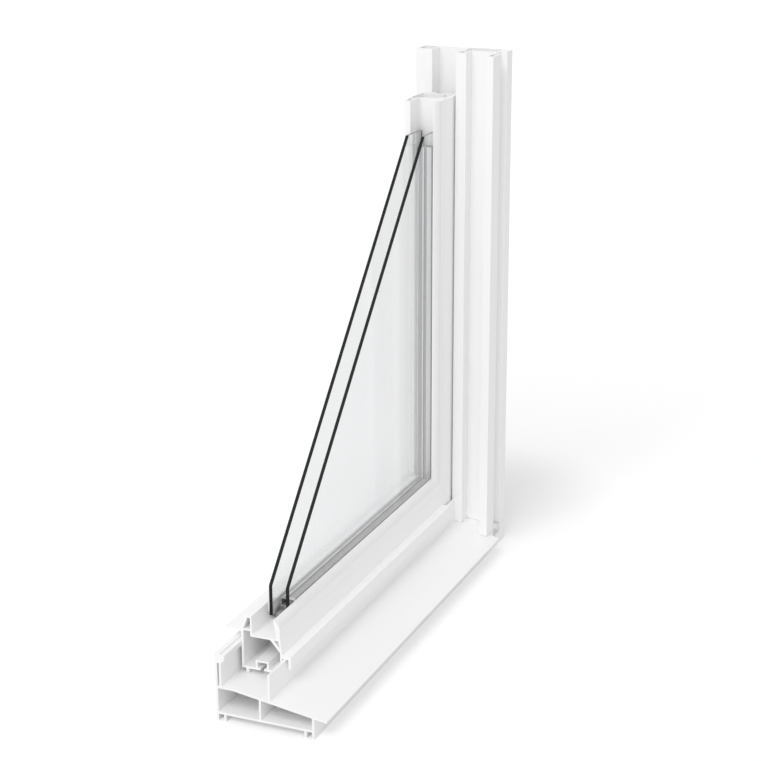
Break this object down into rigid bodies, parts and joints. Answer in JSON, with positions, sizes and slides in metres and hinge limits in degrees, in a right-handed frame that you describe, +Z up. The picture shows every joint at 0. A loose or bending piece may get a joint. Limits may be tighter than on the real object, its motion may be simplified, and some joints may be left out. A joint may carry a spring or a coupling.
{
  "type": "window corner section sample",
  "caption": "Cut-away lower corner of a white vinyl hung window: sloped hollow sill and jamb, mitred sash with lift fin and drip hook, double glazing cut on a slant.",
  "frame": {"origin": "on the floor under the middle of the part's box, where the sill fins stand", "axes": "+X from the room side to the weather side, +Y along the sill towards the jamb, +Z up along the jamb"},
  "size_m": [0.087, 0.38, 0.4093],
  "materials": {
    "white_vinyl": "white extruded vinyl with a low sheen, saw-cut ends",
    "clear_glass": "clear float glass with dark polished cut edges",
    "mill_aluminium": "plain rolled aluminium spacer bar",
    "edge_sealant": "dark elastic edge sealant",
    "bedding_tape": "thin pale foam bedding tape",
    "setting_block": "firm dark rubber block"
  },
  "bodies": {
    "root": {"frame_sill": "white_vinyl", "frame_jamb": "white_vinyl", "sash_bottom_rail": "white_vinyl", "sash_stile": "white_vinyl", "rail_glazing_bead": "white_vinyl", "stile_glazing_bead": "white_vinyl", "inner_pane": "clear_glass", "outer_pane": "clear_glass", "spacer_bottom": "mill_aluminium", "spacer_side": "mill_aluminium", "sealant_bottom": "edge_sealant", "sealant_side": "edge_sealant", "inner_seal_bottom": "edge_sealant", "inner_seal_side": "edge_sealant", "outer_seal_bottom": "edge_sealant", "outer_seal_side": "edge_sealant", "inner_tape_bottom": "bedding_tape", "inner_tape_side": "bedding_tape", "outer_tape_bottom": "bedding_tape", "outer_tape_side": "bedding_tape", "setting_block_1": "setting_block", "setting_block_2": "setting_block"}
  },
  "joints": []
}
